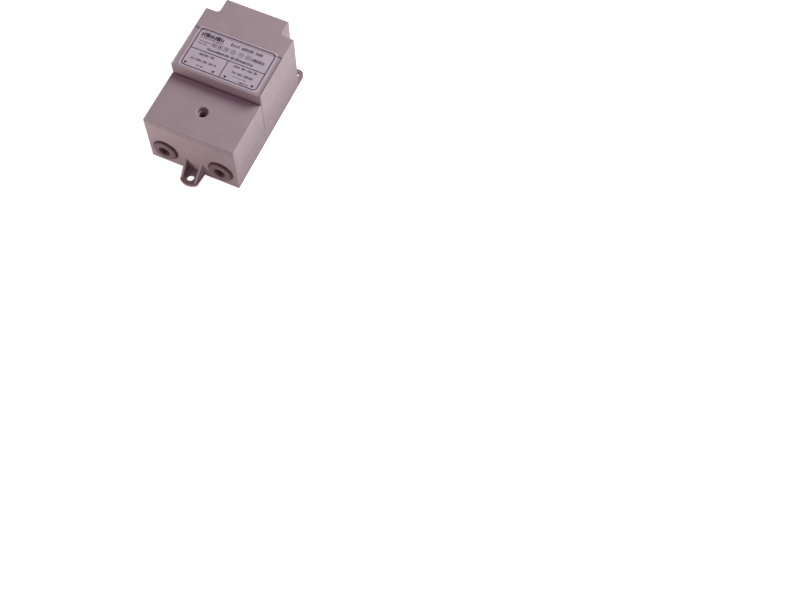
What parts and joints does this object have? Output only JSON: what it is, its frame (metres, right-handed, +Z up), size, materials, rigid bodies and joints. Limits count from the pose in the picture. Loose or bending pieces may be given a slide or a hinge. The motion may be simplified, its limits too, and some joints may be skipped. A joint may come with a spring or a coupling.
{
  "type": "enclosed safety transformer",
  "caption": "Enclosed safety transformer: tall transformer block, low terminal compartment with a screwed cover, cable grommets in the front wall and fixing lugs at the base.",
  "frame": {"origin": "middle of the footprint, fixing lugs included, on the base plane", "axes": "+Z up, front wall with the grommets towards -Y, width along X"},
  "size_m": [0.08, 0.1412, 0.0629],
  "materials": {
    "housing_plastic": "fine moulded grain, matt",
    "grommet_rubber": "soft moulded rubber",
    "label_film": "printed film, satin",
    "screw_steel": "zinc plated",
    "core_steel": "stacked sheets, varnished",
    "enamelled_wire": "close-wound enamelled copper",
    "former_plastic": "moulded, satin",
    "winding_tape": "polyester tape",
    "cutout_body": "moulded, satin",
    "terminal_plastic": "moulded, matt",
    "terminal_brass": "bright turned brass",
    "primary_insulation": "soft insulation",
    "secondary_insulation": "soft insulation"
  },
  "bodies": {
    "root": {"housing": "housing_plastic", "terminal_cover": "housing_plastic", "base_plate": "housing_plastic", "cable_clamp_left": "housing_plastic", "cable_clamp_right": "housing_plastic", "grommet_left": "grommet_rubber", "grommet_right": "grommet_rubber", "rating_label": "label_film", "cover_screw": "screw_steel", "base_screws": "screw_steel", "block_screws": "screw_steel", "cable_clamp_screws": "screw_steel", "primary_clamp_screws": "screw_steel", "secondary_clamp_screws": "screw_steel", "core_bolts": "screw_steel", "core_nuts": "screw_steel", "core_e_sheets": "core_steel", "core_i_sheets": "core_steel", "primary_winding": "enamelled_wire", "secondary_winding": "enamelled_wire", "coil_former": "former_plastic", "primary_tape": "winding_tape", "secondary_tape": "winding_tape", "thermal_cutout": "cutout_body", "primary_terminal_block": "terminal_plastic", "secondary_terminal_block": "terminal_plastic", "primary_clamps": "terminal_brass", "secondary_clamps": "terminal_brass", "solder_tags": "terminal_brass", "primary_leads": "primary_insulation", "secondary_leads": "secondary_insulation"}
  },
  "joints": []
}
